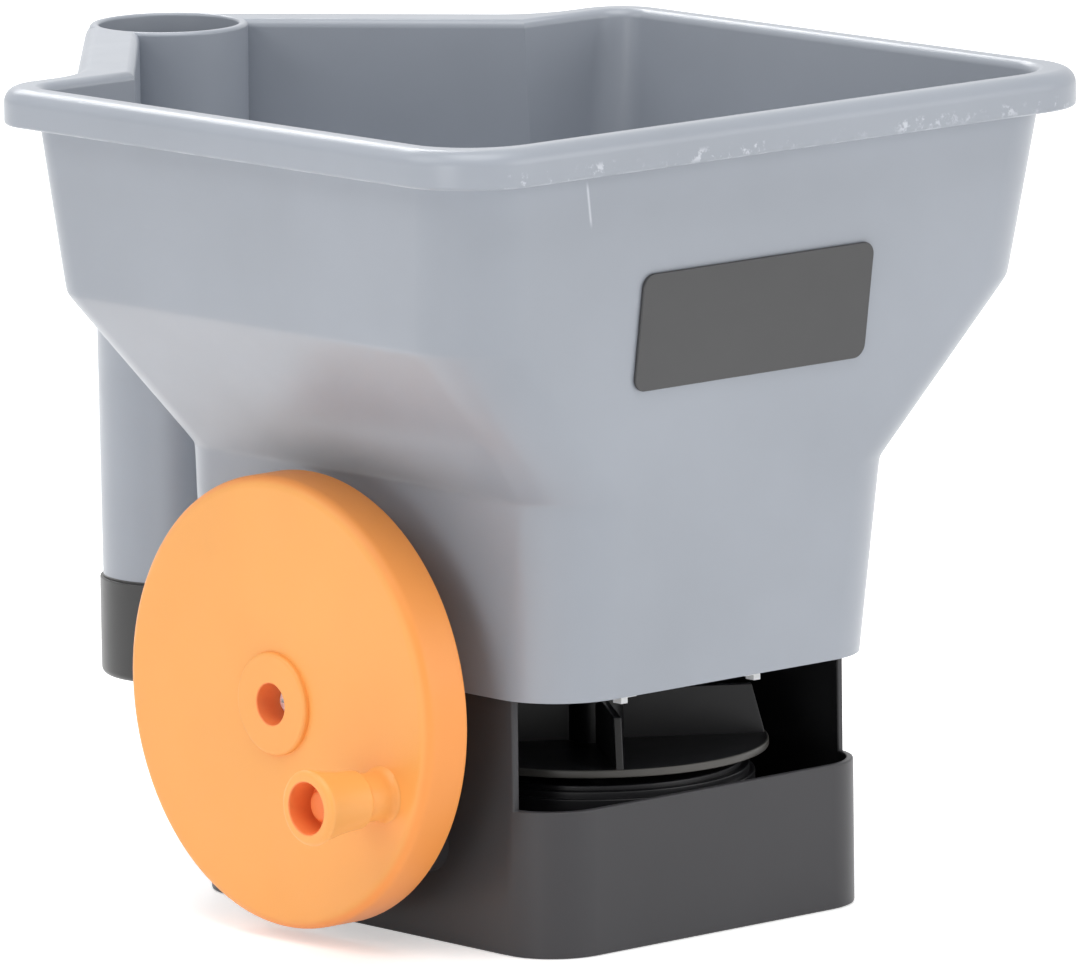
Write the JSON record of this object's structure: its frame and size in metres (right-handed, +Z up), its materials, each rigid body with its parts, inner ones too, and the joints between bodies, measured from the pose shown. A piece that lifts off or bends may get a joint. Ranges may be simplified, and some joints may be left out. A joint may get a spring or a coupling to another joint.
{
  "type": "handheld seed spreader",
  "caption": "Handheld seed spreader: open funnel hopper with handle tube, crank disc on one side, geared vaned spinner in a windowed base and a sliding flow gate.",
  "frame": {"origin": "on the ground under the middle of the base's bottom face", "axes": "+Z up, -Y the way the seed is thrown, +Y towards the handle tube, the crank disc on the -X side"},
  "size_m": [0.2178, 0.2597, 0.21],
  "materials": {
    "hopper_grey": "satin moulded polypropylene",
    "cap_black": "satin moulded",
    "badge_dark": "smooth satin label plate",
    "base_black": "semi-gloss moulded",
    "drum_black": "satin moulded",
    "spinner_black": "satin moulded",
    "crank_orange": "satin moulded",
    "screw_steel": "zinc plated",
    "shaft_steel": "ground",
    "gear_nylon": "natural nylon",
    "seal_rubber": "matte"
  },
  "bodies": {
    "frame": {"hopper": "hopper_grey", "handle_end_cap": "cap_black", "badge_plate": "badge_dark", "base_housing": "base_black", "gear_drum": "drum_black", "drum_screws": "screw_steel", "base_screws": "screw_steel", "crank_axle": "shaft_steel", "crank_washer": "screw_steel", "crank_screw": "screw_steel", "layshaft_outer_bush": "gear_nylon", "layshaft_inner_bush": "gear_nylon", "bearing_block": "drum_black", "block_screws": "screw_steel", "spindle_lower_bush": "gear_nylon", "spindle_upper_bush": "gear_nylon", "floor_seal": "seal_rubber"},
    "crank": {"crank_disc": "crank_orange"},
    "knob": {"crank_knob": "crank_orange"},
    "layshaft": {"layshaft": "shaft_steel", "layshaft_pinion": "gear_nylon", "layshaft_bevel": "gear_nylon", "layshaft_clip": "screw_steel"},
    "spinner": {"spindle": "shaft_steel", "spindle_bevel": "gear_nylon", "spinner": "spinner_black", "spinner_clip": "screw_steel", "agitator": "gear_nylon"},
    "gate": {"gate_slide": "drum_black"}
  },
  "joints": [
    {"name": "crank_spin", "type": "hinge", "parent": "frame", "child": "crank", "pos_m": [-0.0845, 0, 0.0604], "axis": [1, 0, 0], "continuous": true},
    {"name": "layshaft_spin", "type": "hinge", "parent": "frame", "child": "layshaft", "pos_m": [-0.04, -0.025, 0.0248], "axis": [1, 0, 0], "continuous": true},
    {"name": "spinner_spin", "type": "hinge", "parent": "frame", "child": "spinner", "pos_m": [0, -0.025, 0.04], "axis": [0, 0, 1], "continuous": true},
    {"name": "knob_spin", "type": "hinge", "parent": "crank", "child": "knob", "pos_m": [-0.1, -0.04, 0.0428], "axis": [1, 0, 0], "continuous": true},
    {"name": "gate_slide", "type": "slide", "parent": "frame", "child": "gate", "axis": [0, 1, 0], "range_m": [0, 0.018]}
  ],
  "couplings": [
    {"joint": "layshaft_spin", "follows": "crank_spin", "ratio": 6.8},
    {"joint": "spinner_spin", "follows": "crank_spin", "ratio": -6.8}
  ]
}
